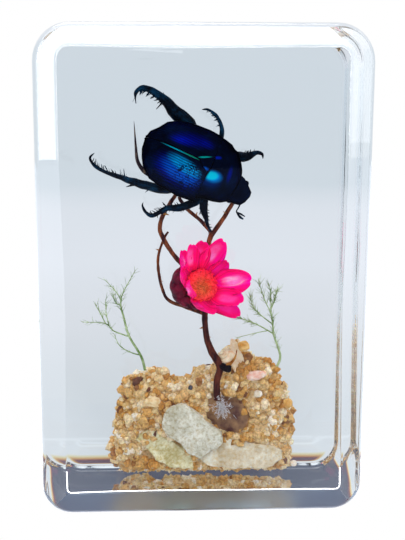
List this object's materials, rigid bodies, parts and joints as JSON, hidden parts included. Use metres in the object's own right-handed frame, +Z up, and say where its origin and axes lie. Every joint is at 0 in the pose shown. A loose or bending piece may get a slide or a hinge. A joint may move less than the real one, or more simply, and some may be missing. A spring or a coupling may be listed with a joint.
{
  "type": "insect in resin block",
  "caption": "Blue metallic flower chafer above a pink flower and a thorny twig on a clump of sand, cast in a clear upright resin block with rounded edges.",
  "frame": {"origin": "middle of the flat bottom that the block stands on", "axes": "+Z up the height of the block, +X to the right across its width, the front face with the beetle's back looks along -Y"},
  "size_m": [0.075, 0.04, 0.1125],
  "materials": {
    "resin": "clear, polished",
    "sand": "coarse translucent grains",
    "pale_slab": "waxy, translucent",
    "cream_slab": "waxy, translucent",
    "smoky_quartz": "glassy, smoky",
    "white_crystal": "sugary crystal",
    "shell": "satin shell",
    "amber_pebble": "wet, translucent",
    "pink_pebble": "wet",
    "pale_pebble": "wet",
    "dark_pebble": "wet",
    "brown_pebble": "wet",
    "bark": "smooth bark, golden thorns",
    "sprig": "dry moss-like leaflets",
    "petal": "soft petal",
    "floret": "papery florets",
    "calyx": "dull bracts",
    "beetle_shell": "metallic blue wing case",
    "beetle_belly": "dark metallic",
    "beetle_leg": "dark metallic",
    "wing_membrane": "folded membrane"
  },
  "bodies": {
    "root": {"resin_front": "resin", "resin_back": "resin", "sand_base": "sand", "slab_centre": "pale_slab", "slab_left": "pale_slab", "slab_right": "cream_slab", "smoky_stone": "smoky_quartz", "crystal_tuft": "white_crystal", "snail_shell": "shell", "shell_flake": "shell", "pebble_orange": "amber_pebble", "pebble_pink": "pink_pebble", "pebble_white": "pale_pebble", "pebble_yellow": "amber_pebble", "pebble_cream": "pale_pebble", "pebble_dark": "dark_pebble", "pebble_brown": "brown_pebble", "pebble_bead": "pale_pebble", "twig_trunk": "bark", "twig_left_loop": "bark", "twig_left_branch": "bark", "twig_right_stem": "bark", "twig_right_arm": "bark", "twig_cross_arm": "bark", "sprig_left": "sprig", "sprig_right": "sprig", "flower_disc": "floret", "flower_calyx": "calyx", "petal_top": "petal", "petal_back_top": "petal", "petal_left_top": "petal", "petal_left_back": "petal", "petal_left": "petal", "petal_left_low": "petal", "petal_bottom": "petal", "petal_lower": "petal", "petal_lower_right": "petal", "petal_right": "petal", "petal_behind_right": "petal", "beetle_underbody": "beetle_belly", "elytron_left": "beetle_shell", "elytron_right": "beetle_shell", "beetle_scutellum": "beetle_shell", "beetle_pronotum": "beetle_shell", "beetle_head": "beetle_shell", "leg_hind_left": "beetle_leg", "leg_hind_right": "beetle_leg", "leg_middle_right": "beetle_leg", "leg_front_right": "beetle_leg", "leg_middle_left": "beetle_leg", "leg_front_left": "beetle_leg", "antenna_right": "beetle_leg", "hind_wing_tip": "wing_membrane"}
  },
  "joints": []
}
